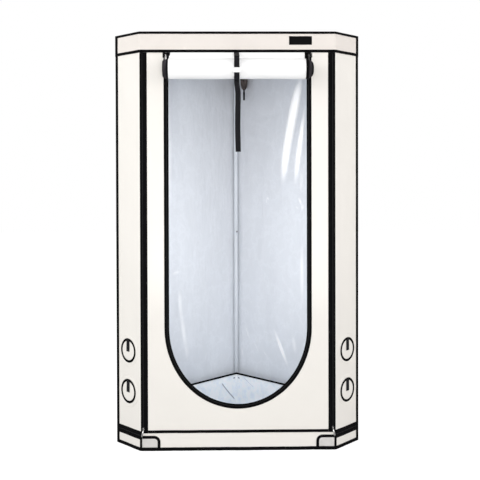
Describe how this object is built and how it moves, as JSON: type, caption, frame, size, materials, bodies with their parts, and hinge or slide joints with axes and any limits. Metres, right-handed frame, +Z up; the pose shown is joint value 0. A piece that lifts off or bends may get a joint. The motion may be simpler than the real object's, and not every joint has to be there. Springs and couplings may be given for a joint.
{
  "type": "indoor grow tent",
  "caption": "Five-sided corner grow tent: plugged tube frame in a sewn cover, rolled-up zip door, duct ports with lift-up covers, floor tray and lamp bars.",
  "frame": {"origin": "on the ground, in the middle of the cover's width and depth", "axes": "+Z up, the door faces -Y, the square back corner points to +Y, +X to the right as seen from the front"},
  "size_m": [1.2, 0.8504, 2.0432],
  "materials": {
    "cover_fabric": "satin ivory oxford cloth",
    "door_lining": "bright white coated lining",
    "reflective_lining": "pale reflective lining",
    "black_tape": "black woven tape and webbing",
    "white_tube": "white powder coat",
    "zinc_corner": "zinc plated steel",
    "nickel": "nickel plated zinc",
    "white_plastic": "white moulded plastic",
    "dark_mesh": "dark drawstring cloth",
    "patch_fabric": "light grey cloth patch"
  },
  "bodies": {
    "tent": {"pole_front_left": "white_tube", "pole_front_right": "white_tube", "pole_left": "white_tube", "pole_right": "white_tube", "pole_back": "white_tube", "front_rail_bottom": "white_tube", "front_rail_top": "white_tube", "back_rail_left_bottom": "white_tube", "back_rail_left_top": "white_tube", "back_rail_right_bottom": "white_tube", "back_rail_right_top": "white_tube", "corner_fitting_back_bottom": "zinc_corner", "corner_fitting_back_top": "zinc_corner", "corner_fitting_left_bottom": "zinc_corner", "corner_fitting_left_top": "zinc_corner", "corner_fitting_right_bottom": "zinc_corner", "corner_fitting_right_top": "zinc_corner", "lamp_bar_left": "white_tube", "lamp_bar_right": "white_tube", "front_panel": "cover_fabric", "side_panel_left": "cover_fabric", "side_panel_right": "cover_fabric", "back_wall_left": "cover_fabric", "back_wall_right": "cover_fabric", "roof_panel": "cover_fabric", "floor_panel": "cover_fabric", "top_band": "cover_fabric", "seam_binding": "black_tape", "front_hem_tape": "black_tape", "corner_patch_left": "patch_fabric", "corner_patch_right": "patch_fabric", "blank_label": "black_tape", "door_zip": "black_tape", "corner_zip_left": "black_tape", "corner_zip_right": "black_tape", "door_roll": "door_lining", "roll_edge_left": "black_tape", "roll_edge_right": "black_tape", "roll_strap": "black_tape", "cable_sleeve": "dark_mesh", "floor_tray": "reflective_lining", "tray_binding": "black_tape"},
    "corner_slider_left": {"corner_slider_left": "nickel"},
    "corner_slider_right": {"corner_slider_right": "nickel"},
    "corner_pull_left": {"corner_pull_left": "nickel"},
    "corner_pull_right": {"corner_pull_right": "nickel"},
    "door_slider_left": {"door_slider_left": "nickel"},
    "door_slider_right": {"door_slider_right": "nickel"},
    "door_pull_left": {"door_pull_left": "nickel"},
    "door_pull_right": {"door_pull_right": "nickel"},
    "port_cover_left_upper": {"port_cover_left_upper": "cover_fabric", "port_rim_left_upper": "black_tape"},
    "port_cover_left_lower": {"port_cover_left_lower": "cover_fabric", "port_rim_left_lower": "black_tape"},
    "port_cover_right_upper": {"port_cover_right_upper": "cover_fabric", "port_rim_right_upper": "black_tape"},
    "port_cover_right_lower": {"port_cover_right_lower": "cover_fabric", "port_rim_right_lower": "black_tape"},
    "strap_tail": {"strap_tail": "black_tape"},
    "strap_buckle": {"strap_buckle": "white_plastic"}
  },
  "joints": [
    {"name": "corner_slider_left_travel", "type": "slide", "parent": "tent", "child": "corner_slider_left", "axis": [0, 0, 1], "range_m": [0, 1.78]},
    {"name": "corner_slider_right_travel", "type": "slide", "parent": "tent", "child": "corner_slider_right", "axis": [0, 0, 1], "range_m": [0, 1.78]},
    {"name": "corner_pull_left_swing", "type": "hinge", "parent": "corner_slider_left", "child": "corner_pull_left", "pos_m": [-0.4535, -0.3795, 0.107], "axis": [-1, 0, 0], "range_deg": [0, 170]},
    {"name": "corner_pull_right_swing", "type": "hinge", "parent": "corner_slider_right", "child": "corner_pull_right", "pos_m": [0.4535, -0.3795, 0.107], "axis": [-1, 0, 0], "range_deg": [0, 170]},
    {"name": "door_slider_left_travel", "type": "slide", "parent": "tent", "child": "door_slider_left", "axis": [0, 0, -1], "range_m": [0, 1.29]},
    {"name": "door_slider_right_travel", "type": "slide", "parent": "tent", "child": "door_slider_right", "axis": [0, 0, -1], "range_m": [0, 1.29]},
    {"name": "door_pull_left_swing", "type": "hinge", "parent": "door_slider_left", "child": "door_pull_left", "pos_m": [-0.3405, -0.3795, 1.8852], "axis": [-1, 0, 0], "range_deg": [0, 170]},
    {"name": "door_pull_right_swing", "type": "hinge", "parent": "door_slider_right", "child": "door_pull_right", "pos_m": [0.3405, -0.3795, 1.8852], "axis": [-1, 0, 0], "range_deg": [0, 170]},
    {"name": "port_cover_left_upper_lift", "type": "hinge", "parent": "tent", "child": "port_cover_left_upper", "pos_m": [-0.53402, -0.30302, 0.5243], "axis": [-0.6787, 0.7345, 0], "range_deg": [0, 170]},
    {"name": "port_cover_left_lower_lift", "type": "hinge", "parent": "tent", "child": "port_cover_left_lower", "pos_m": [-0.53402, -0.30302, 0.3268], "axis": [-0.6787, 0.7345, 0], "range_deg": [0, 170]},
    {"name": "port_cover_right_upper_lift", "type": "hinge", "parent": "tent", "child": "port_cover_right_upper", "pos_m": [0.53402, -0.30302, 0.5243], "axis": [-0.6787, -0.7345, 0], "range_deg": [0, 170]},
    {"name": "port_cover_right_lower_lift", "type": "hinge", "parent": "tent", "child": "port_cover_right_lower", "pos_m": [0.53402, -0.30302, 0.3268], "axis": [-0.6787, -0.7345, 0], "range_deg": [0, 170]},
    {"name": "strap_tail_swing", "type": "hinge", "parent": "tent", "child": "strap_tail", "pos_m": [-0.005, -0.4278, 1.763], "axis": [1, 0, 0], "range_deg": [-60, 60]},
    {"name": "strap_buckle_travel", "type": "slide", "parent": "tent", "child": "strap_buckle", "axis": [0, 0, 1], "range_m": [-0.003, 0.052]}
  ]
}
